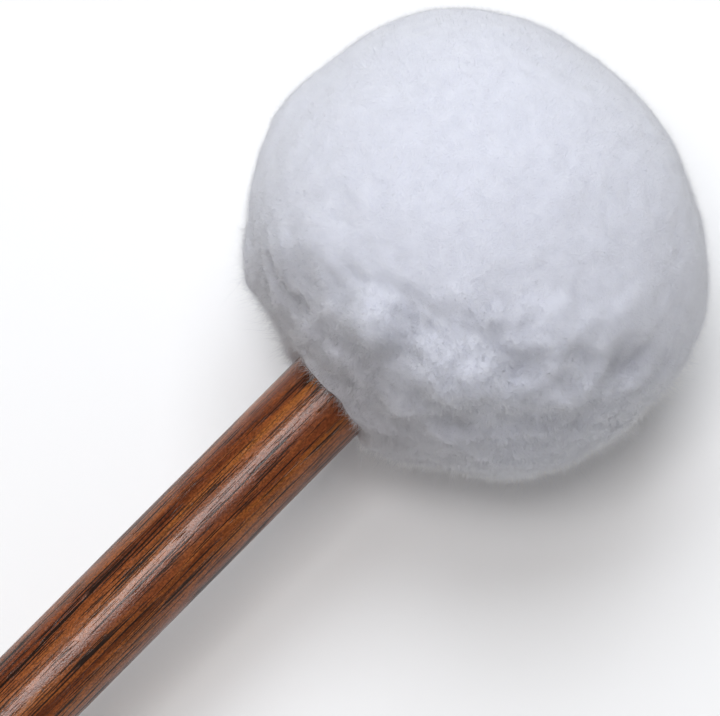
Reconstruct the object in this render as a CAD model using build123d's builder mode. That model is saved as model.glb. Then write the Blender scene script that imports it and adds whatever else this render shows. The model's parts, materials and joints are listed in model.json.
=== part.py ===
from build123d import *
from math import asin, copysign, cos, pi, sin
import os

# A fleece-headed drum mallet, lying on a table at z = 0 with its butt towards -X and its head towards +X.
# Every piece but the wedge and the threads' knot and stitches is turned about one axis, the mallet's, which
# rises from the butt to the middle of the head. Sections are drawn in the mallet's own coordinates:
# the first runs along the axis from the butt end, and the second is the distance from the axis.

# ---- Driving dimensions (mm) ----
overall_length = 381.0

# Handle
handle_diameter = 15.9
neck_recess = 0.8             # how far the handle is turned down where the cover is tied on
tenon_diameter = 11.1         # inside the core
butt_rounding = 5.0

# Head, outside the pile
head_diameter = 79.6
crown_height = 36.6           # from the widest section to the crown
base_height = 34.6            # from the widest section to the base, where the handle enters
head_fullness = 2.35          # exponent of the superellipse: 2 is an ellipse, more is squarer
pressed_flat = 1.0            # how far the pile gives where the head lies on the table

# Layers of the head, from the outside in
fleece_thickness = 10.0
outer_felt_thickness = 8.0
inner_felt_thickness = 5.0
core_rounding = 7.0

# Wedge in the tenon
wedge_length = 16.0
wedge_tip = 0.5
wedge_back = 2.2

# Seam of the outer felt
seam_gap = 0.3
seam_thread_diameter = 0.9
stitch_length = 3.6
stitch_spacing = 4.5
stitch_sink = 0.3             # how far below the felt's surface a stitch is drawn
seam_end_margin = 15.0        # from the axis to the nearest stitch, along the felt

# Threads at the neck
hem_thickness = 1.6           # gathered backing between the neck and the binding
binding_thread_diameter = 1.2
binding_turns = 4
binding_pitch = 1.1           # the turns are pressed into each other
binding_setback = 1.6         # from the pile's edge on the handle to the first turn
gathering_thread_diameter = 0.8
gathering_gap = 0.6           # between the last turn of the binding and the gathering thread
knot_diameter = 1.6

# ---- Worked-out dimensions ----
handle_radius = handle_diameter / 2
neck_radius = handle_radius - neck_recess
tenon_radius = tenon_diameter / 2
head_radius = head_diameter / 2

head_middle = overall_length - crown_height
felt_thickness = inner_felt_thickness + outer_felt_thickness
padding = felt_thickness + fleece_thickness
core_radius = head_radius - padding
core_front = overall_length - padding
core_back = head_middle - base_height + padding

# The pile meets the full-width handle a little inside the base, because the base is rounded.
neck_start = head_middle - base_height * (1 - (handle_radius / head_radius) ** head_fullness) ** (1 / head_fullness)


def head_reach(height, along, across):
    """How far half of the head reaches from its middle in a direction, given along and across the axis."""
    power = head_fullness / (head_fullness - 1)
    return ((height * along) ** power + (head_radius * across) ** power) ** (1 / power)


# The mallet lies on its head and on the rim of its butt. The lean of its axis is where both touch the table.
butt_core_radius = handle_radius - butt_rounding
lever = head_middle - butt_rounding
lean = 0.0
for _ in range(30):
    head_rise = head_reach(base_height, sin(lean), cos(lean)) - pressed_flat
    butt_rise = butt_core_radius * cos(lean) + butt_rounding
    lean = asin((head_rise - butt_rise) / lever)

# The origin is under the middle of the whole mallet.
crown_reach = head_reach(crown_height, cos(lean), sin(lean))
butt_reach = butt_core_radius * sin(lean) + butt_rounding
rounding_x = (butt_reach - crown_reach - lever * cos(lean)) / 2
butt_centre = Vector(
    rounding_x - butt_rounding * cos(lean),
    0,
    butt_rise - butt_rounding * sin(lean),
)
along_axis = Vector(cos(lean), 0, sin(lean))
mallet_axis = Axis(butt_centre, along_axis)
section_plane = Plane(butt_centre, x_dir=along_axis, z_dir=(0, -1, 0))
wedge_plane = Plane(butt_centre, x_dir=along_axis, z_dir=section_plane.y_dir)

# ---- Sections ----


def handle_section():
    """Half of the handle, from its rounded butt to the end of the tenon."""
    with BuildSketch() as section:
        with BuildLine():
            CenterArc((butt_rounding, butt_core_radius), butt_rounding, 90, 90)
            Polyline(
                (butt_rounding, handle_radius),
                (neck_start, handle_radius),
                (neck_start, neck_radius),
                (core_back, neck_radius),
                (core_back, tenon_radius),
                (core_front, tenon_radius),
                (core_front, 0),
                (0, 0),
                (0, butt_core_radius),
            )
        make_face()
    return section.sketch


def drum_section(felt):
    """Half of the turned core, a drum with rounded edges, with this thickness of felt round it."""
    back = core_back - felt
    front = core_front + felt
    radius = core_radius + felt
    with BuildSketch() as section:
        with BuildLine():
            FilletPolyline((back, 0), (back, radius), (front, radius), (front, 0), radius=core_rounding + felt)
            Line((front, 0), (back, 0))
        make_face()
    return section.sketch


def head_section():
    """Half of the head's outer form, a superellipse that is shallower at the base than at the crown."""
    points = []
    steps = 20
    for step in range(steps + 1):
        angle = pi * step / steps
        height = base_height if angle < pi / 2 else crown_height
        along = copysign(abs(cos(angle)) ** (2 / head_fullness), -cos(angle))
        across = max(sin(angle), 0) ** (2 / head_fullness)
        points.append((head_middle + height * along, head_radius * across))
    with BuildSketch() as section:
        with BuildLine():
            Spline(*points, tangents=[(0, 1), (0, -1)])
            Line(points[-1], points[0])
        make_face()
    return section.sketch


# ---- Wooden pieces ----

with BuildPart() as tenon_wedge:
    with BuildSketch(wedge_plane):
        with BuildLine():
            Polyline(
                (core_front - wedge_length, -wedge_tip / 2),
                (core_front, -wedge_back / 2),
                (core_front, wedge_back / 2),
                (core_front - wedge_length, wedge_tip / 2),
                close=True,
            )
        make_face()
    extrude(amount=tenon_radius, both=True)
    with BuildSketch(section_plane):
        with Locations((core_front - wedge_length, 0)):
            Rectangle(wedge_length, tenon_radius, align=(Align.MIN, Align.MIN))
    revolve(axis=mallet_axis, mode=Mode.INTERSECT)

with BuildPart() as handle:
    with BuildSketch(section_plane):
        add(handle_section())
    revolve(axis=mallet_axis)
    add(tenon_wedge.part, mode=Mode.SUBTRACT)

with BuildPart() as head_core:
    with BuildSketch(section_plane):
        add(drum_section(0))
    revolve(axis=mallet_axis)
    with BuildSketch(section_plane):
        add(handle_section())
    revolve(axis=mallet_axis, mode=Mode.SUBTRACT)

# ---- Felt layers ----

with BuildPart() as inner_felt:
    with BuildSketch(section_plane):
        add(drum_section(inner_felt_thickness))
        add(drum_section(0), mode=Mode.SUBTRACT)
    revolve(axis=mallet_axis)
    with BuildSketch(section_plane):
        add(handle_section())
    revolve(axis=mallet_axis, mode=Mode.SUBTRACT)

# The stitches lie across the seam, spaced evenly along the felt's section, which starts and ends on the axis.
seam_thread_radius = seam_thread_diameter / 2
seam_depth = seam_thread_radius + stitch_sink
seam_back = core_back - felt_thickness + seam_depth
seam_front = core_front + felt_thickness - seam_depth
seam_radius = core_radius + felt_thickness - seam_depth
seam_rounding = core_rounding + felt_thickness - seam_depth
with BuildLine() as seam_path:
    FilletPolyline(
        (seam_back, 0), (seam_back, seam_radius), (seam_front, seam_radius), (seam_front, 0), radius=seam_rounding
    )
seam_line = seam_path.wires()[0]
stitched_length = seam_line.length - 2 * seam_end_margin
stitch_gaps = int(stitched_length / stitch_spacing)
stitch_places = [
    seam_line @ ((seam_end_margin + stitched_length * stitch / stitch_gaps) / seam_line.length)
    for stitch in range(stitch_gaps + 1)
]

with BuildPart() as felt_seam_thread:
    with BuildSketch(section_plane):
        with Locations(*stitch_places):
            Circle(seam_thread_radius)
    extrude(amount=stitch_length / 2, both=True)

with BuildPart() as outer_felt:
    with BuildSketch(section_plane):
        add(drum_section(felt_thickness))
        add(drum_section(inner_felt_thickness), mode=Mode.SUBTRACT)
    revolve(axis=mallet_axis)
    with BuildSketch(section_plane):
        add(drum_section(felt_thickness))
    extrude(amount=seam_gap / 2, both=True, mode=Mode.SUBTRACT)
    add(felt_seam_thread.part, mode=Mode.SUBTRACT)
    with BuildSketch(section_plane):
        add(handle_section())
    revolve(axis=mallet_axis, mode=Mode.SUBTRACT)

# ---- Threads at the neck ----

binding_radius = neck_radius + hem_thickness + binding_thread_diameter / 2
binding_start = neck_start + binding_setback + binding_thread_diameter / 2
binding_places = [(binding_start + turn * binding_pitch, binding_radius) for turn in range(binding_turns)]
binding_end = binding_places[-1][0] + binding_thread_diameter / 2
gathering_place = (
    binding_end + gathering_gap + gathering_thread_diameter / 2,
    neck_radius + hem_thickness / 2,
)

with BuildPart() as neck_binding:
    with BuildSketch(section_plane):
        with Locations(*binding_places):
            Circle(binding_thread_diameter / 2)
    revolve(axis=mallet_axis)

with BuildPart() as gathering_thread:
    with BuildSketch(section_plane):
        with Locations(gathering_place):
            Circle(gathering_thread_diameter / 2)
    revolve(axis=mallet_axis)
    with Locations(section_plane.from_local_coords(Vector(*gathering_place) + Vector(0, knot_diameter / 2))):
        Sphere(knot_diameter / 2)

# ---- Fleece cover, gathered round the neck ----

with BuildPart() as fleece_cover:
    with BuildSketch(section_plane):
        add(head_section())
    revolve(axis=mallet_axis)
    with BuildSketch(section_plane):
        add(drum_section(felt_thickness))
    revolve(axis=mallet_axis, mode=Mode.SUBTRACT)
    with BuildSketch(section_plane):
        add(handle_section())
    revolve(axis=mallet_axis, mode=Mode.SUBTRACT)
    add(neck_binding.part, mode=Mode.SUBTRACT)
    add(gathering_thread.part, mode=Mode.SUBTRACT)
    split(bisect_by=Plane.XY, keep=Keep.TOP)

# ---- Export ----

handle.part.label = "handle"
tenon_wedge.part.label = "tenon_wedge"
head_core.part.label = "head_core"
inner_felt.part.label = "inner_felt"
outer_felt.part.label = "outer_felt"
felt_seam_thread.part.label = "felt_seam_thread"
gathering_thread.part.label = "gathering_thread"
neck_binding.part.label = "neck_binding"
fleece_cover.part.label = "fleece_cover"

os.makedirs("parts", exist_ok=True)
export_step(handle.part, "parts/handle.step")
export_step(tenon_wedge.part, "parts/tenon_wedge.step")
export_step(head_core.part, "parts/head_core.step")
export_step(inner_felt.part, "parts/inner_felt.step")
export_step(outer_felt.part, "parts/outer_felt.step")
export_step(felt_seam_thread.part, "parts/felt_seam_thread.step")
export_step(gathering_thread.part, "parts/gathering_thread.step")
export_step(neck_binding.part, "parts/neck_binding.step")
export_step(fleece_cover.part, "parts/fleece_cover.step")
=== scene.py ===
import json
from math import atan2, cos, pi, radians, sin

import bpy
import numpy as np
from mathutils import Matrix, Vector, noise


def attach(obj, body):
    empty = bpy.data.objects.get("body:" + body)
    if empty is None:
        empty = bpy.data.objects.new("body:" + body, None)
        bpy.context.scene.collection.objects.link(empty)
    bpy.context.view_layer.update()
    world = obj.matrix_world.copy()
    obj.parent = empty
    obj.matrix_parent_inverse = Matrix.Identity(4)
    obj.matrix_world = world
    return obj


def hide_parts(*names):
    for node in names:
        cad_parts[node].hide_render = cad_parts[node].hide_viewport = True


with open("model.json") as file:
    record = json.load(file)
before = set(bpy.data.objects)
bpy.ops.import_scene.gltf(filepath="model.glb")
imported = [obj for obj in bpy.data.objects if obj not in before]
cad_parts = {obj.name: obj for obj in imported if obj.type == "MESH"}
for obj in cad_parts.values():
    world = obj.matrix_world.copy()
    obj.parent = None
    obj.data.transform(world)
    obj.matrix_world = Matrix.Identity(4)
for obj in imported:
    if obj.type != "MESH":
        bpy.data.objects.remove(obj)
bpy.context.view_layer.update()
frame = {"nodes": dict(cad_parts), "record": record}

# ---------------------------------------------------------------------------
# The mallet's own frame: AXIS runs from the butt to the head, UPRIGHT is square to it in the upright plane.
# Places on the mallet are (along, upright, side) in metres, measured from the middle of the head.
# ---------------------------------------------------------------------------
MM = 0.001
GRIP = next(m for m in frame["record"]["mounts"] if m["name"] == "grip")
AXIS = -Vector(GRIP["axis"]).normalized()
SIDE = Vector((0, 1, 0))
UPRIGHT = AXIS.cross(SIDE).normalized()
GRIP_MIDDLE = Vector(GRIP["pos_m"])
HANDLE_RADIUS = GRIP["dims"]["r_mm"] * MM


def node_points(node):
    """A CAD node's vertices, as (along, upright, side) from the middle of the grip."""
    mesh = frame["nodes"][node].data
    points = np.empty(len(mesh.vertices) * 3)
    mesh.vertices.foreach_get("co", points)
    points = points.reshape(-1, 3) - np.array(GRIP_MIDDLE)
    return points @ np.array([AXIS, UPRIGHT, SIDE]).T


FLEECE_POINTS = node_points("fleece_cover")
FLEECE_ACROSS = np.hypot(FLEECE_POINTS[:, 1], FLEECE_POINTS[:, 2])
FELT_POINTS = node_points("outer_felt")
FELT_RADIUS = float(np.hypot(FELT_POINTS[:, 1], FELT_POINTS[:, 2]).max())
HEAD_RADIUS = float(FLEECE_ACROSS.max())
NECK_RADIUS = float(FLEECE_ACROSS.min())
HEAD_START = float(FLEECE_POINTS[:, 0].min())
HEAD_END = float(FLEECE_POINTS[:, 0].max())
CROWN_SHARE = 0.515           # of the head's length that lies beyond its widest section
HEAD_FULLNESS = 2.35          # power of the head's section: 2 is an ellipse, and more is squarer
FELT_FULLNESS = 4             # the same for the felt inside
CROWN_HEIGHT = (HEAD_END - HEAD_START) * CROWN_SHARE
BASE_HEIGHT = (HEAD_END - HEAD_START) * (1 - CROWN_SHARE)
FLEECE_THICKNESS = HEAD_RADIUS - FELT_RADIUS
HEAD_MIDDLE = GRIP_MIDDLE + AXIS * (HEAD_END - CROWN_HEIGHT)
NECK = HEAD_MIDDLE - AXIS * BASE_HEIGHT

TO_WORLD = np.array([AXIS, UPRIGHT, SIDE])     # rows: the mallet's directions in the world
CENTRE = np.array(HEAD_MIDDLE)

# ---------------------------------------------------------------------------
# Sizes of the fleece
# ---------------------------------------------------------------------------
SEED = 7
noise.seed_set(SEED)          # without this, noise.noise_vector starts from the clock
GATHERED_SIDE = (-0.83, -0.2, -0.52)      # the pile is most ruffled in this direction from the head's middle
CROWN_RUFFLE = 0.15           # of the base's relief and fibre tangle that the combed crown has

SKIN_INSET = 1.0 * MM         # from the head's size down to the skin that the fibres stand on
SKIN_SEGMENTS = 400
SKIN_RINGS = 215
LINING_RINGS = 30
CLEARANCE = 0.3 * MM          # between the lining and the felt
HEM_DEPTH = 6 * MM
THROAT_DEPTHS = (0.8 * MM, HEM_DEPTH / 2, HEM_DEPTH)
HANDLE_SHOULDER = BASE_HEIGHT - 0.5 * MM
SKIN_OVER_HANDLE = 0.12 * MM
SKIN_OVER_TABLE = 0.4 * MM
COLLAR_RISE = 0.9 * MM        # of the pile round the handle's shoulder
COLLAR_REACH = 5 * MM         # from the handle
TUCK_REACH = 2.2 * MM         # from the handle, over which the collar rounds over and tucks in
NECK_SLANT = 1.9 * MM         # how much further the cover runs along the handle on one side
NECK_SLANT_TURN = radians(-95)
NECK_SLANT_REACH = 12 * MM

# Relief: the size of its bumps and how far they rise, in millimetres
BROAD_BUMPS = (24, 0.5)
MIDDLE_BUMPS = (9, 1.3)
FINE_BUMPS = (4.5, 0.75)
TUFT_BUMPS = (2.2, 0.22)
FRAYED_BUMPS = (3.4, 0.22)
# Ragged shift of the relief: the size of its waves and how far they go, in millimetres
WIDE_SHIFT = (7, 1.6)
NARROW_SHIFT = (3, 0.6)

PILE_COUNT = 190000           # fibres
PILE_PIECES = 10
PILE_LENGTH = 1.6 * MM
PILE_RADIUS = 0.022 * MM
FIBRE_RINGS = 2
FIBRE_SIDES = 3
FIBRE_TAPER = 0.75            # of its width that a fibre loses by its tip
FIBRE_OVER_HANDLE = 0.1 * MM
FIBRE_OVER_TABLE = (0.05, 0.5)            # lowest and highest place of a pressed fibre, in millimetres
STRAY_SHARE = 0.06            # of the fibres that are STRAY_LENGTH times as long
STRAY_LENGTH = 2.0
CROWN_PILE_LENGTH = 0.45      # of the fibres' length on the base
CROWN_PILE_WIDTH = 0.4        # of their width on the base
NECK_SHORTENING = 0.75        # of their length that fibres lose at the handle
STAND_UP = 0.7                # pull of a fibre towards the skin's own direction
CROWN_SPREAD = 0.3            # random pull on a fibre's direction
BASE_SPREAD = 0.6
CURL_BEND = 0.55              # how strongly its curl bends a fibre
RANDOM_CURL = 0.9
# Flows that fibres follow: the size in millimetres and the pull
COMBED_FLOW = (9, 0.5)
TUFTED_FLOW = (2.6, 0.3)
CURLED_FLOW = (3.5, 0.35)

# Tufts (rise above zero) and hollows of the pile. Each has its turn about the axis, from UPRIGHT towards
# SIDE, and its angle from the neck, in degrees, and then its half width and its rise in millimetres. Their
# places were measured on the photograph and rounded to five degrees. Widths and rises were set one by one.
TUFTS = [
    # Broad swells and flats of the whole head
    (-80, 140, 13, -1.6),
    (75, 80, 8, 1.2),
    (85, 40, 6, 1.8),
    (-115, 25, 6, 1.3),
    (-100, 75, 7, -1.0),
    # The ledge where the combed crown ends
    (-20, 65, 6, 0.9),
    (-40, 80, 6, 1.2),
    (-50, 95, 6, 1.0),
    (10, 55, 7, 0.7),
    # Tufts of the gathered base
    (-5, 50, 4.5, 2.8),
    (-30, 55, 6, 3.3),
    (-40, 60, 5, 1.3),
    (-55, 75, 5, 1.4),
    (-35, 35, 2.5, 1.4),
    (25, 55, 5, 0.6),
    # Hollows above and below them
    (-40, 70, 3.5, -1.4),
    (-50, 80, 3.5, -1.4),
    (-60, 90, 4, -1.3),
    (50, 40, 2.5, -1.0),
    (40, 35, 2.5, -1.4),
    (30, 35, 2.5, -1.4),
    (-60, 60, 6, -1.4),
    (-50, 45, 4, -1.2),
    # The cover's edge on the handle
    (-45, 15, 2.5, 0.6),
    (15, 15, 3, 0.8),
]


# ---------------------------------------------------------------------------
# Places, noise and the head's form
# ---------------------------------------------------------------------------


def to_world(points):
    return points @ TO_WORLD + CENTRE


def to_mallet(points):
    return (points - CENTRE) @ TO_WORLD.T


def unit(vectors):
    return vectors / np.maximum(np.linalg.norm(vectors, axis=1, keepdims=True), 1e-9)


def smooth_step(low, high, x):
    t = np.clip((x - low) / (high - low), 0, 1)
    return t * t * (3 - 2 * t)


def between(low, high, share):
    return low + (high - low) * share


def bumps(points, size_and_rise, offset):
    """Smooth noise in metres at each point. Each offset gives other noise."""
    size, rise = size_and_rise
    shift = Vector((offset * 17.3, offset * -9.1, offset * 5.7))
    field = np.array([noise.noise(Vector(p) / (size * MM) + shift) for p in points])
    return field * rise * MM


def flow(points, size, offset):
    """A smooth field of vectors, about -1..1 each way. Its waves have this size in millimetres."""
    shift = Vector((offset * 3.1, offset * 7.7, offset * -4.3))
    return np.array([noise.noise_vector(Vector(p) / (size * MM) + shift) for p in points])


def shifts(points, size_and_reach, offset):
    size, reach = size_and_reach
    return flow(points, size, offset) * reach * MM


def head_radius_along(directions, fullness=HEAD_FULLNESS, inset=0.0):
    """Distance from the head's middle to its surface in unit directions given in the mallet's frame."""
    along = directions[:, 0]
    across = np.hypot(directions[:, 1], directions[:, 2])
    height = np.where(along > 0, CROWN_HEIGHT, BASE_HEIGHT) - inset
    power = (np.abs(along) / height) ** fullness + (across / (HEAD_RADIUS - inset)) ** fullness
    return power ** (-1 / fullness)


def tufted(points, ragged):
    """How far the placed tufts stand out at each point. ragged shifts the points to roughen the edges."""
    rise = np.zeros(len(points))
    for turn, from_neck, half_width, height in TUFTS:
        away = pi - radians(from_neck)
        middle = np.array([[cos(away), sin(away) * cos(radians(turn)), sin(away) * sin(radians(turn))]])
        middle = middle * head_radius_along(middle)[:, None]
        distance = np.linalg.norm(points + ragged - middle, axis=1) / (half_width * MM)
        rise += height * MM * smooth_step(1.6, 0.25, distance)
    return rise


def ruffled(directions):
    """How ruffled the pile is: 0 on the combed crown and 1 on the gathered side of the base."""
    one_side = smooth_step(0.05, 0.5, directions @ np.array(GATHERED_SIDE))
    all_round = smooth_step(-0.45, -0.85, directions[:, 0])
    return np.maximum(one_side, all_round)


def lumps(points, directions):
    """How far the pile stands out of the head's plain form, in metres."""
    along = directions[:, 0]
    across = np.hypot(points[:, 1], points[:, 2])
    rough = between(CROWN_RUFFLE, 1, ruffled(directions))
    ragged = shifts(points, WIDE_SHIFT, 5) + shifts(points, NARROW_SHIFT, 6)
    broad = bumps(points, BROAD_BUMPS, 1)
    middle = bumps(points + ragged, MIDDLE_BUMPS, 2)
    fine = bumps(points + ragged, FINE_BUMPS, 3)
    tuft = bumps(points, TUFT_BUMPS, 4)
    frayed = bumps(points + ragged, FRAYED_BUMPS, 7)
    # Round the handle the pile is thicker, and a soft collar covers the handle's shoulder.
    thicker = SKIN_INSET * smooth_step(0.8 * HEAD_RADIUS, 1.5 * HANDLE_RADIUS, across)
    collar = COLLAR_RISE * smooth_step(COLLAR_REACH, 1.5 * MM, across - HANDLE_RADIUS)
    collar = (thicker + collar) * (along < 0)
    return broad + tufted(points, ragged) + rough * (middle + fine + tuft) + frayed + collar


def keep_clear(points, slack):
    """Moves points that would be in the bare handle out to its surface, plus slack."""
    across = np.hypot(points[:, 1], points[:, 2])
    bare = HANDLE_RADIUS + slack
    outside = points[:, 0] < -HANDLE_SHOULDER
    grow = np.where(outside & (across < bare), bare / np.maximum(across, 1e-6), 1.0)
    return points * np.stack([np.ones_like(grow), grow, grow], axis=1)


def press_flat(world, lowest):
    """Lifts what would reach under the table to this height, so it lies flat there."""
    world[:, 2] = np.maximum(world[:, 2], lowest)
    return world


# ---------------------------------------------------------------------------
# Mesh helpers
# ---------------------------------------------------------------------------


def mesh_vertices(mesh):
    points = np.empty(len(mesh.vertices) * 3)
    mesh.vertices.foreach_get("co", points)
    return points.reshape(-1, 3)


def link_piece(name, mesh):
    piece = bpy.data.objects.new(name, mesh)
    bpy.context.scene.collection.objects.link(piece)
    return piece


def set_map(mesh, places):
    layer = mesh.uv_layers.new(name="OFBake")
    layer.uv.foreach_set("vector", places.astype(np.float32).ravel())


def octahedral(directions, centres):
    """Unfolds unit directions on to a unit square. centres says which side of the fold a point counts as."""
    flat = directions / np.abs(directions).sum(axis=1, keepdims=True)
    u, v = flat[:, 1].copy(), flat[:, 2].copy()
    under = centres[:, 0] < 0
    side_u = np.where(centres[:, 1] >= 0, 1.0, -1.0)
    side_v = np.where(centres[:, 2] >= 0, 1.0, -1.0)
    folded_u = (1 - v * side_v) * side_u
    folded_v = (1 - u * side_u) * side_v
    u = np.where(under, folded_u, u)
    v = np.where(under, folded_v, v)
    return np.stack([u, v], axis=1) * 0.49 + 0.5


# ---------------------------------------------------------------------------
# Fleece skin: the sculpted body of the pile, hollow for the felt and open at the neck
# ---------------------------------------------------------------------------


def ring_directions(angles):
    """Unit directions on rings at these angles from the crown, SKIN_SEGMENTS to a ring."""
    turns = np.arange(SKIN_SEGMENTS) / SKIN_SEGMENTS * 2 * pi
    angle, turn = np.meshgrid(angles, turns, indexing="ij")
    parts = [np.cos(angle), np.sin(angle) * np.cos(turn), np.sin(angle) * np.sin(turn)]
    return np.stack(parts, axis=2).reshape(-1, 3)


def outer_rings():
    """The sculpted outside, ring by ring from the crown to the handle."""
    neck_angle = pi - atan2(HANDLE_RADIUS + 0.15 * MM, BASE_HEIGHT - SKIN_INSET)
    angles = np.linspace(0, neck_angle, SKIN_RINGS + 1)[1:]
    directions = ring_directions(angles)
    plain = directions * head_radius_along(directions, inset=SKIN_INSET)[:, None]
    # The collar rounds over and tucks in where it meets the handle.
    across = np.hypot(plain[:, 1], plain[:, 2])
    tuck = np.sqrt(smooth_step(HANDLE_RADIUS, HANDLE_RADIUS + TUCK_REACH, across))
    tuck = np.where(directions[:, 0] > 0, 1.0, tuck)
    outer = plain + directions * (lumps(plain, directions) * tuck)[:, None]
    # The cover runs further along the handle on one side.
    turn = np.arctan2(outer[:, 2], outer[:, 1])
    slant = NECK_SLANT * (1 + np.cos(turn - NECK_SLANT_TURN)) / 2
    near_handle = smooth_step(HANDLE_RADIUS + NECK_SLANT_REACH, HANDLE_RADIUS, across)
    outer[:, 0] -= slant * near_handle * (directions[:, 0] < 0)
    return keep_clear(outer, SKIN_OVER_HANDLE)


def throat_rings():
    """The hem that runs in along the neck."""
    turns = np.arange(SKIN_SEGMENTS) / SKIN_SEGMENTS * 2 * pi
    radius = NECK_RADIUS + CLEARANCE / 2
    rings = []
    for depth in THROAT_DEPTHS:
        along = np.full(SKIN_SEGMENTS, -BASE_HEIGHT + SKIN_INSET + depth)
        rings.append(np.stack([along, radius * np.cos(turns), radius * np.sin(turns)], axis=1))
    return rings


def lining_rings(inset):
    """The inside, which lies round the outer felt, from the neck to the crown."""
    start = pi - atan2(NECK_RADIUS + 1.5 * MM, BASE_HEIGHT - inset)
    angles = np.linspace(start, 0, LINING_RINGS + 1)[:-1]
    directions = ring_directions(angles)
    return directions * head_radius_along(directions, fullness=FELT_FULLNESS, inset=inset)[:, None]


def skin_faces(rings, last_point):
    """Quads between the rings, closed by a fan at each end."""
    faces = []
    for segment in range(SKIN_SEGMENTS):
        after = (segment + 1) % SKIN_SEGMENTS
        faces.append((0, 1 + after, 1 + segment))
        for ring in range(rings - 1):
            start = 1 + ring * SKIN_SEGMENTS
            next_start = start + SKIN_SEGMENTS
            faces.append((start + segment, start + after, next_start + after, next_start + segment))
        start = 1 + (rings - 1) * SKIN_SEGMENTS
        faces.append((start + segment, start + after, last_point))
    return faces


def give_skin_map(piece):
    """Gives the skin a map that unfolds it once, by direction from the middle of the head."""
    mesh = piece.data
    corner_vertex = np.empty(len(mesh.loops), np.int32)
    mesh.loops.foreach_get("vertex_index", corner_vertex)
    counts = np.empty(len(mesh.polygons), np.int32)
    mesh.polygons.foreach_get("loop_total", counts)
    centres = np.empty(len(mesh.polygons) * 3)
    mesh.polygons.foreach_get("center", centres)
    local = to_mallet(mesh_vertices(mesh))
    local_centres = to_mallet(centres.reshape(-1, 3))
    set_map(mesh, octahedral(local[corner_vertex], np.repeat(local_centres, counts, axis=0)))


def build_skin():
    lining_inset = FLEECE_THICKNESS - CLEARANCE
    crown = np.array([[CROWN_HEIGHT - SKIN_INSET, 0, 0]])
    crown[0, 0] += lumps(crown, np.array([[1.0, 0, 0]]))[0]
    lining_crown = np.array([[CROWN_HEIGHT - lining_inset, 0, 0]])
    points = np.concatenate([crown, outer_rings(), *throat_rings(), lining_rings(lining_inset), lining_crown])
    rings = SKIN_RINGS + len(THROAT_DEPTHS) + LINING_RINGS
    world = press_flat(to_world(points), SKIN_OVER_TABLE)
    mesh = bpy.data.meshes.new("fleece_skin")
    mesh.from_pydata(world.tolist(), [], skin_faces(rings, len(points) - 1))
    mesh.shade_smooth()
    mesh.update()
    piece = link_piece("fleece_skin", mesh)
    give_skin_map(piece)
    return piece


# ---------------------------------------------------------------------------
# Pile: tapered closed fibres that stand on the skin. Every random draw comes from one seeded generator.
# ---------------------------------------------------------------------------


def scatter(skin, count, rng):
    """Roots spread evenly over the outer skin, with the skin's direction there."""
    mesh = skin.data
    mesh.calc_loop_triangles()
    corners = np.empty(len(mesh.loop_triangles) * 3, np.int32)
    mesh.loop_triangles.foreach_get("vertices", corners)
    corners = corners.reshape(-1, 3)
    outer = (corners <= SKIN_RINGS * SKIN_SEGMENTS).all(axis=1)
    corners = corners[outer]
    points = mesh_vertices(mesh)
    normals = np.empty(len(mesh.vertices) * 3, np.float32)
    mesh.vertex_normals.foreach_get("vector", normals)
    normals = normals.reshape(-1, 3)
    a, b, c = points[corners[:, 0]], points[corners[:, 1]], points[corners[:, 2]]
    area = np.linalg.norm(np.cross(b - a, c - a), axis=1)
    picked = rng.choice(len(corners), count, p=area / area.sum())
    u, v = rng.random(count), rng.random(count)
    over = u + v > 1
    u, v = np.where(over, 1 - u, u), np.where(over, 1 - v, v)
    shares = np.stack([1 - u - v, u, v], axis=1)
    chosen = corners[picked]
    roots = (points[chosen] * shares[:, :, None]).sum(axis=1)
    leans = (normals[chosen] * shares[:, :, None]).sum(axis=1)
    return roots, leans / np.linalg.norm(leans, axis=1, keepdims=True)


def fibre_directions(roots, leans, rough, rng):
    """Each fibre's direction at its root, and the curl that bends it. Both are calmer on the combed crown."""
    combed = COMBED_FLOW[1] * flow(roots, COMBED_FLOW[0], 1)
    tufted_up = TUFTED_FLOW[1] * flow(roots, TUFTED_FLOW[0], 2)
    spread = between(CROWN_SPREAD, BASE_SPREAD, rough)
    pulled = STAND_UP * leans + between(CROWN_RUFFLE, 1, rough) * (combed + tufted_up)
    start = unit(pulled + spread * rng.normal(0, 1, roots.shape))
    curled = rough * CURLED_FLOW[1] * flow(roots, CURLED_FLOW[0], 3)
    curl = curled + rng.normal(0, RANDOM_CURL, roots.shape)
    return start, curl


def fibre_lengths(local, rough, rng):
    """Lengths of the fibres, shorter on the crown and next to the handle."""
    from_axis = np.hypot(local[:, 1], local[:, 2])
    near_handle = smooth_step(HANDLE_RADIUS + 3 * MM, HANDLE_RADIUS + 0.5 * MM, from_axis)
    by_handle = (local[:, 0] < 0) * near_handle
    length = PILE_LENGTH * rng.uniform(0.5, 1.3, PILE_COUNT)
    length = length * between(CROWN_PILE_LENGTH, 1, rough[:, 0]) * (1 - NECK_SHORTENING * by_handle)
    return length * np.where(rng.random(PILE_COUNT) < STRAY_SHARE, STRAY_LENGTH, 1.0)


def fibre_lines(roots, start, curl, length, rng):
    """Points along each fibre from root to tip, kept off the handle and the table."""
    line = []
    for step in np.linspace(0, 1, FIBRE_RINGS + 1):
        place = roots + (start * step + curl * (CURL_BEND * step * step)) * length[:, None]
        place = to_world(keep_clear(to_mallet(place), FIBRE_OVER_HANDLE))
        lowest = rng.uniform(*FIBRE_OVER_TABLE, PILE_COUNT) * MM
        line.append(press_flat(place, lowest))
    return line


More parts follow.
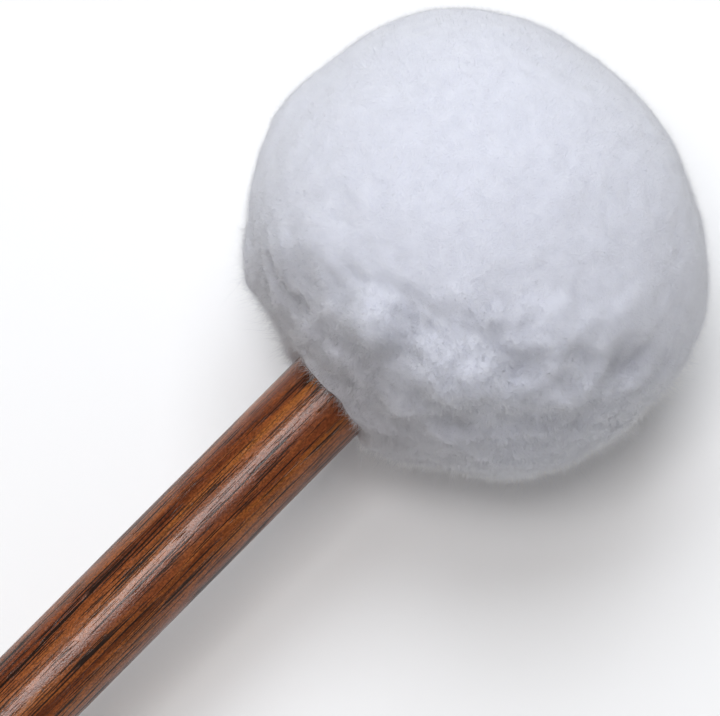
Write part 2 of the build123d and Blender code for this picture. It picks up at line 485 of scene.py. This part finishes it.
def fibre_vertices(line, width, rng):
    """Every fibre's vertices: rings that taper along its line, and its tip."""
    heading = unit(line[-1] - line[0])
    first = unit(np.cross(heading, np.array([0.31, 0.57, 0.76])))
    second = np.cross(heading, first)
    spin = rng.uniform(0, 2 * pi, PILE_COUNT)
    width = PILE_RADIUS * rng.uniform(0.7, 1.3, PILE_COUNT) * width
    rings = []
    for index in range(FIBRE_RINGS):
        taper = 1 - FIBRE_TAPER * index / FIBRE_RINGS
        for side in range(FIBRE_SIDES):
            angle = spin + side * 2 * pi / FIBRE_SIDES
            offset = first * np.cos(angle)[:, None] + second * np.sin(angle)[:, None]
            rings.append(line[index] + offset * (width * taper)[:, None])
    rings.append(line[-1])
    return np.stack(rings, axis=1)


def build_pile(skin):
    rng = np.random.default_rng(SEED)
    roots, leans = scatter(skin, PILE_COUNT, rng)
    local = to_mallet(roots)
    rough = ruffled(unit(local))[:, None]
    start, curl = fibre_directions(roots, leans, rough, rng)
    length = fibre_lengths(local, rough, rng)
    line = fibre_lines(roots, start, curl, length, rng)
    fibres = fibre_vertices(line, between(CROWN_PILE_WIDTH, 1, rough[:, 0]), rng)
    # Each piece holds the fibres of one sector round the axis.
    order = np.argsort(np.arctan2(local[:, 2], local[:, 1]), kind="stable")
    fibres = fibres[order]
    groups = np.array_split(np.arange(PILE_COUNT), PILE_PIECES)
    return [fibre_piece(f"fleece_pile_{index + 1}", fibres[group]) for index, group in enumerate(groups)]


def fibre_faces():
    """One closed fibre's faces, and each face corner's place on a unit square, root at the bottom."""
    faces = [[2, 1, 0]]
    places = [[(0.1, 0.0), (0.5, 0.0), (0.9, 0.0)]]
    for ring in range(FIBRE_RINGS - 1):
        low, high = ring * FIBRE_SIDES, (ring + 1) * FIBRE_SIDES
        bottom, top = ring / FIBRE_RINGS, (ring + 1) / FIBRE_RINGS
        for side in range(FIBRE_SIDES):
            after = (side + 1) % FIBRE_SIDES
            left, right = side / FIBRE_SIDES, (side + 1) / FIBRE_SIDES
            faces.append([low + side, low + after, high + after, high + side])
            places.append([(left, bottom), (right, bottom), (right, top), (left, top)])
    low, tip = (FIBRE_RINGS - 1) * FIBRE_SIDES, FIBRE_RINGS * FIBRE_SIDES
    bottom = 1 - 1 / FIBRE_RINGS
    for side in range(FIBRE_SIDES):
        after = (side + 1) % FIBRE_SIDES
        left, right = side / FIBRE_SIDES, (side + 1) / FIBRE_SIDES
        faces.append([low + side, low + after, tip])
        places.append([(left, bottom), (right, bottom), ((left + right) / 2, 1)])
    return faces, np.concatenate(places)


def fibre_piece(name, fibres):
    """One piece of many closed fibres. Each has its own small place on the map."""
    count, per_fibre = fibres.shape[:2]
    faces, corner_places = fibre_faces()
    corner_counts = np.array([len(f) for f in faces])
    corner_points = np.concatenate(faces)
    all_corners = (np.arange(count)[:, None] * per_fibre + corner_points[None, :]).ravel()
    totals = np.tile(corner_counts, count)
    starts = np.concatenate([[0], np.cumsum(totals)[:-1]])
    mesh = bpy.data.meshes.new(name)
    mesh.vertices.add(count * per_fibre)
    mesh.vertices.foreach_set("co", fibres.astype(np.float32).ravel())
    mesh.loops.add(len(all_corners))
    mesh.loops.foreach_set("vertex_index", all_corners.astype(np.int32))
    mesh.polygons.add(len(totals))
    mesh.polygons.foreach_set("loop_start", starts.astype(np.int32))
    mesh.update(calc_edges=True)
    mesh.shade_smooth()
    cells = int(np.ceil(np.sqrt(count)))
    cell = np.stack([np.arange(count) % cells, np.arange(count) // cells], axis=1)
    uv = (cell[:, None, :] + 0.1 + 0.8 * corner_places[None, :, :]) / cells
    set_map(mesh, uv.reshape(-1, 2))
    return link_piece(name, mesh)


# ---------------------------------------------------------------------------
# Materials
# ---------------------------------------------------------------------------


class Nodes:
    """A short way to build a node material."""

    def __init__(self, name):
        self.material = bpy.data.materials.new(name)
        self.material.use_nodes = True
        self.tree = self.material.node_tree
        self.tree.nodes.clear()
        self.shader = self.tree.nodes.new("ShaderNodeBsdfPrincipled")
        out = self.tree.nodes.new("ShaderNodeOutputMaterial")
        self.tree.links.new(self.shader.outputs[0], out.inputs[0])

    def node(self, kind, inputs=None, **settings):
        made = self.tree.nodes.new(kind)
        for key, value in settings.items():
            setattr(made, key, value)
        for key, value in (inputs or {}).items():
            self.feed(made.inputs[key], value)
        return made

    def feed(self, socket, value):
        if isinstance(value, bpy.types.NodeSocket):
            self.tree.links.new(value, socket)
        else:
            socket.default_value = value

    def surface(self, values):
        """Feeds the shader's own sockets by name."""
        for name, value in values.items():
            self.feed(self.shader.inputs[name], value)

    def math(self, operation, *values):
        made = self.node("ShaderNodeMath", operation=operation)
        for index, value in enumerate(values):
            self.feed(made.inputs[index], value)
        return made.outputs[0]

    def mix(self, share, a, b, blend="MIX"):
        made = self.node("ShaderNodeMix", data_type="RGBA", blend_type=blend)
        self.feed(made.inputs[0], share)
        self.feed(made.inputs[6], a)
        self.feed(made.inputs[7], b)
        return made.outputs[2]

    def ramp(self, value, stops):
        made = self.node("ShaderNodeValToRGB", {0: value})
        elements = made.color_ramp.elements
        while len(elements) < len(stops):
            elements.new(0.5)
        for element, (place, colour) in zip(elements, stops):
            element.position = place
            element.color = colour if len(colour) == 4 else (*colour, 1)
        return made.outputs[0]

    def noise(self, vector, detail, rough):
        inputs = {"Vector": vector, "Scale": 1.0, "Detail": detail, "Roughness": rough}
        return self.node("ShaderNodeTexNoise", inputs).outputs[0]

    def place(self):
        return self.node("ShaderNodeTexCoord").outputs["Object"]

    def mallet_place(self, along=1, across=1):
        """Object coordinates in millimetres with X along the mallet, stretched along and across it."""
        lean = atan2(AXIS.z, AXIS.x)
        turned = self.node("ShaderNodeMapping", {"Vector": self.place(), "Rotation": (0, lean, 0)}).outputs[0]
        stretch = (along * 1000, across * 1000, across * 1000)
        return self.node("ShaderNodeMapping", {"Vector": turned, "Scale": stretch}).outputs[0]

    def grain(self, along, across, detail, rough):
        """Noise with about this many marks to a millimetre along and across the mallet."""
        return self.noise(self.mallet_place(along, across), detail, rough)

    def bump(self, strength, distance, height):
        inputs = {"Strength": strength, "Distance": distance, "Height": height}
        return self.node("ShaderNodeBump", inputs).outputs[0]


def grey(level):
    return (level, level, level)


def stained_wood():
    """Reddish-brown stained, open-grained hardwood under satin lacquer."""
    n = Nodes("stained_wood")
    # Bands of growth that wander across the handle
    wander = n.grain(0.018, 0.12, 2.0, 0.5)
    drift = n.math("MULTIPLY", n.math("SUBTRACT", wander, 0.5), 3.0)
    drifted = {0: n.mallet_place(0.006, 0.34), 1: drift}
    bands = n.noise(n.node("ShaderNodeVectorMath", drifted, operation="ADD").outputs[0], 3.0, 0.55)
    tone = n.ramp(bands, [
        (0.28, (0.100, 0.022, 0.007)),
        (0.42, (0.185, 0.047, 0.013)),
        (0.56, (0.245, 0.070, 0.016)),
        (0.74, (0.310, 0.098, 0.015)),
    ])
    # Darker and lighter streaks
    streaks = n.grain(0.016, 1.1, 4.0, 0.65)
    streak_tone = n.ramp(streaks, [(0.33, grey(0.35)), (0.43, grey(0.9)), (0.68, grey(1.2))])
    tone = n.mix(0.8, tone, streak_tone, "MULTIPLY")
    # Pores: thin dark dashes along the grain, crowded in some bands, with finer ones between
    crowd = n.grain(0.010, 0.45, 2.0, 0.5)
    pores = n.grain(0.055, 2.6, 1.0, 0.4)
    level = n.math("ADD", pores, n.math("MULTIPLY", n.math("SUBTRACT", crowd, 0.5), 0.5))
    pore = n.ramp(level, [(0.615, grey(0)), (0.645, grey(1))])
    fine_pore = n.ramp(n.grain(0.14, 4.2, 1.0, 0.4), [(0.61, grey(0)), (0.65, grey(0.85))])
    dark = n.math("MAXIMUM", pore, fine_pore)
    # Fine speckle of the wood between the pores
    speckle = n.grain(2.2, 3.2, 2.0, 0.7)
    speckled = n.ramp(speckle, [(0.36, grey(0.5)), (0.64, grey(1.5))])
    tone = n.mix(0.75, tone, speckled, "MULTIPLY")
    # Lacquer that sinks a little into the pores
    height = n.math("SUBTRACT", n.math("MULTIPLY", speckle, 0.6), dark)
    bump = n.bump(0.8, 0.0001, height)
    n.surface({
        "Base Color": n.mix(n.math("MULTIPLY", dark, 0.95), tone, (0.010, 0.005, 0.003, 1)),
        "Roughness": n.math("ADD", n.math("MULTIPLY", dark, 0.3), 0.36),
        "Specular IOR Level": 0.12,
        "Coat Weight": 0.45,
        "Coat Roughness": 0.28,
        "Normal": bump,
        "Coat Normal": bump,
    })
    return n.material


def fleece_white(name, light, shade, depth, fuzz=0.0):
    """White fibre: its colour wanders a little from tuft to tuft, and near the neck it is darkened and warmed
    with painted shade and a painted warm bounce from the wood.
    """
    n = Nodes(name)
    tufts = n.grain(0.35, 0.35, 3.0, 0.6)
    white = n.ramp(tufts, [(0.3, shade), (0.7, light)])
    # Painted shade: within about 10 mm of the neck the colour is darkened and warmed, standing in for the
    # shade round the handle and light bounced off the wood, and this fades out by about 32 mm
    ends = {0: n.place(), 1: tuple(NECK)}
    from_neck = n.node("ShaderNodeVectorMath", ends, operation="DISTANCE").outputs[1]
    painted_neck_shade = n.ramp(n.math("MULTIPLY", from_neck, 25), [(0.25, (0.80, 0.77, 0.75)), (0.8, grey(1))])
    n.surface({
        "Base Color": n.mix(1.0, white, painted_neck_shade, "MULTIPLY"),
        "Roughness": 0.9,
        "Specular IOR Level": 0.2,
        "Sheen Weight": 0.15,
        "Sheen Roughness": 0.5,
        "Subsurface Weight": 1.0,
        "Subsurface Radius": (1.0, 1.0, 1.0),
        "Subsurface Scale": depth,
    })
    if fuzz:
        n.surface({"Normal": n.bump(fuzz, 0.0004, n.grain(2.6, 2.6, 4.0, 0.7))})
    return n.material


def wool_felt(name, light, dark):
    n = Nodes(name)
    wool = n.grain(1.2, 1.2, 4.0, 0.65)
    n.surface({
        "Base Color": n.ramp(wool, [(0.3, dark), (0.7, light)]),
        "Roughness": 0.95,
        "Normal": n.bump(0.5, 0.0003, wool),
    })
    return n.material


def plain_wood(name, light, dark):
    n = Nodes(name)
    grain = n.grain(0.05, 1.8, 3.0, 0.6)
    n.surface({
        "Base Color": n.ramp(grain, [(0.35, dark), (0.65, light)]),
        "Roughness": n.math("ADD", n.math("MULTIPLY", grain, 0.2), 0.5),
    })
    return n.material


def thread(name, light, dark):
    """Twisted thread, with slanting bands of light and dark."""
    n = Nodes(name)
    inputs = {"Vector": n.mallet_place(), "Scale": 0.9, "Distortion": 1.0}
    twist = n.node("ShaderNodeTexWave", inputs, bands_direction="DIAGONAL").outputs[0]
    n.surface({"Base Color": n.ramp(twist, [(0.2, dark), (0.8, light)]), "Roughness": 0.7})
    return n.material


def dress(piece, material):
    piece.data.materials.clear()
    piece.data.materials.append(material)


# ---------------------------------------------------------------------------
# Build the object
# ---------------------------------------------------------------------------
FLEECE_LIGHT = (0.745, 0.76, 0.83)
FLEECE_SHADE = (0.70, 0.715, 0.785)

skin = build_skin()
dress(skin, fleece_white("fleece_ground", FLEECE_LIGHT, FLEECE_SHADE, 1.2 * MM, fuzz=0.6))
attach(skin, "root")
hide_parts("fleece_cover")

pile_material = fleece_white("fleece_pile", FLEECE_LIGHT, FLEECE_SHADE, 0.5 * MM)
for pile in build_pile(skin):
    dress(pile, pile_material)
    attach(pile, "root")

nodes = frame["nodes"]
dress(nodes["handle"], stained_wood())
dress(nodes["tenon_wedge"], plain_wood("wedge_wood", (0.52, 0.36, 0.2), (0.38, 0.24, 0.12)))
dress(nodes["head_core"], plain_wood("core_wood", (0.66, 0.5, 0.32), (0.52, 0.37, 0.22)))
dress(nodes["inner_felt"], wool_felt("firm_felt", (0.74, 0.71, 0.64), (0.6, 0.57, 0.5)))
dress(nodes["outer_felt"], wool_felt("soft_felt", (0.82, 0.8, 0.76), (0.7, 0.68, 0.63)))
dress(nodes["felt_seam_thread"], thread("seam_thread", (0.75, 0.72, 0.66), (0.55, 0.52, 0.46)))
dress(nodes["gathering_thread"], thread("gathering_thread", grey(0.85), grey(0.65)))
dress(nodes["neck_binding"], thread("waxed_cord", (0.7, 0.68, 0.6), (0.5, 0.47, 0.4)))

# ---------------------------------------------------------------------------
# Stage: floor, lights and camera
# ---------------------------------------------------------------------------
FRAME_WIDTH, FRAME_HEIGHT = 720, 716
HEAD_PLACE = (0.664, 0.342)   # of the frame's width and height, from its upper left corner
HEAD_WIDTHS = 1.509           # of the head to the frame's width
CAMERA_DISTANCE = 0.62
CAMERA_ELEVATION = radians(75)
CAMERA_AZIMUTH = radians(-45.2)           # about +Z, from looking along +Y
SENSOR_WIDTH = 36             # millimetres
WORLD_COLOUR = (1.0, 0.98, 0.96, 1)
WORLD_STRENGTH = 0.27


def add_floor():
    bpy.ops.mesh.primitive_plane_add(size=6.0, location=(0, 0, 0))
    floor = bpy.context.object
    floor.name = "floor"
    n = Nodes("floor")
    n.surface({"Base Color": (0.93, 0.93, 0.93, 1), "Roughness": 0.9, "Specular IOR Level": 0.1})
    dress(floor, n.material)


def camera_directions():
    right = Vector((cos(CAMERA_AZIMUTH), sin(CAMERA_AZIMUTH), 0))
    level = Vector((-sin(CAMERA_AZIMUTH), cos(CAMERA_AZIMUTH), 0))
    up = level * sin(CAMERA_ELEVATION) + Vector((0, 0, 1)) * cos(CAMERA_ELEVATION)
    back = right.cross(up)
    return right, up, back


def add_camera():
    right, up, back = camera_directions()
    frame_width = 2 * HEAD_RADIUS * HEAD_WIDTHS
    data = bpy.data.cameras.new("camera")
    data.sensor_width = SENSOR_WIDTH
    data.lens = data.sensor_width * CAMERA_DISTANCE / frame_width
    data.clip_start = 0.01
    data.clip_end = 20
    camera = bpy.data.objects.new("camera", data)
    off_right = (HEAD_PLACE[0] - 0.5) * frame_width
    off_up = (0.5 - HEAD_PLACE[1]) * frame_width * FRAME_HEIGHT / FRAME_WIDTH
    place = HEAD_MIDDLE + back * CAMERA_DISTANCE - right * off_right - up * off_up
    turn = Matrix((right, up, back)).transposed().to_4x4()
    camera.matrix_world = Matrix.Translation(place) @ turn
    bpy.context.scene.collection.objects.link(camera)
    bpy.context.scene.camera = camera


def add_area_light(name, direction, distance, size, power, colour):
    """A soft panel that faces the head from a direction given as (right, up, back towards the camera)."""
    right, up, back = camera_directions()
    way = (right * direction[0] + up * direction[1] + back * direction[2]).normalized()
    data = bpy.data.lights.new(name, "AREA")
    data.shape = "RECTANGLE"
    data.size, data.size_y = size
    data.energy = power
    data.color = colour
    light = bpy.data.objects.new(name, data)
    light.location = HEAD_MIDDLE + way * distance
    light.rotation_euler = (-way).to_track_quat("-Z", "Y").to_euler()
    bpy.context.scene.collection.objects.link(light)
    return light


def add_lights():
    """Two soft lights that no gloss shows, and one that only gloss shows: a single gleam on the lacquer."""
    key = add_area_light("key", (-0.06, 0.61, 0.76), 0.9, (0.6, 0.45), 5.3, (0.92, 0.955, 1.0))
    top = add_area_light("top", (-0.11, 0.15, 1.0), 1.0, (0.3, 0.3), 3.5, (1.0, 0.98, 0.98))
    gleam = add_area_light("gleam", (-0.10, 0.13, 1.0), 1.0, (0.4, 0.4), 9.0, (1.0, 0.97, 0.97))
    key.visible_glossy = False
    top.visible_glossy = False
    gleam.visible_diffuse = False


def add_world():
    world = bpy.data.worlds.new("world")
    bpy.context.scene.world = world
    world.use_nodes = True
    background = world.node_tree.nodes["Background"]
    background.inputs[0].default_value = WORLD_COLOUR
    background.inputs[1].default_value = WORLD_STRENGTH
    world.cycles_visibility.glossy = False     # a dark studio, so the lacquer reflects little


add_floor()
add_camera()
add_world()
add_lights()

view = bpy.context.scene.view_settings
view.view_transform = "Standard"
view.look = "None"
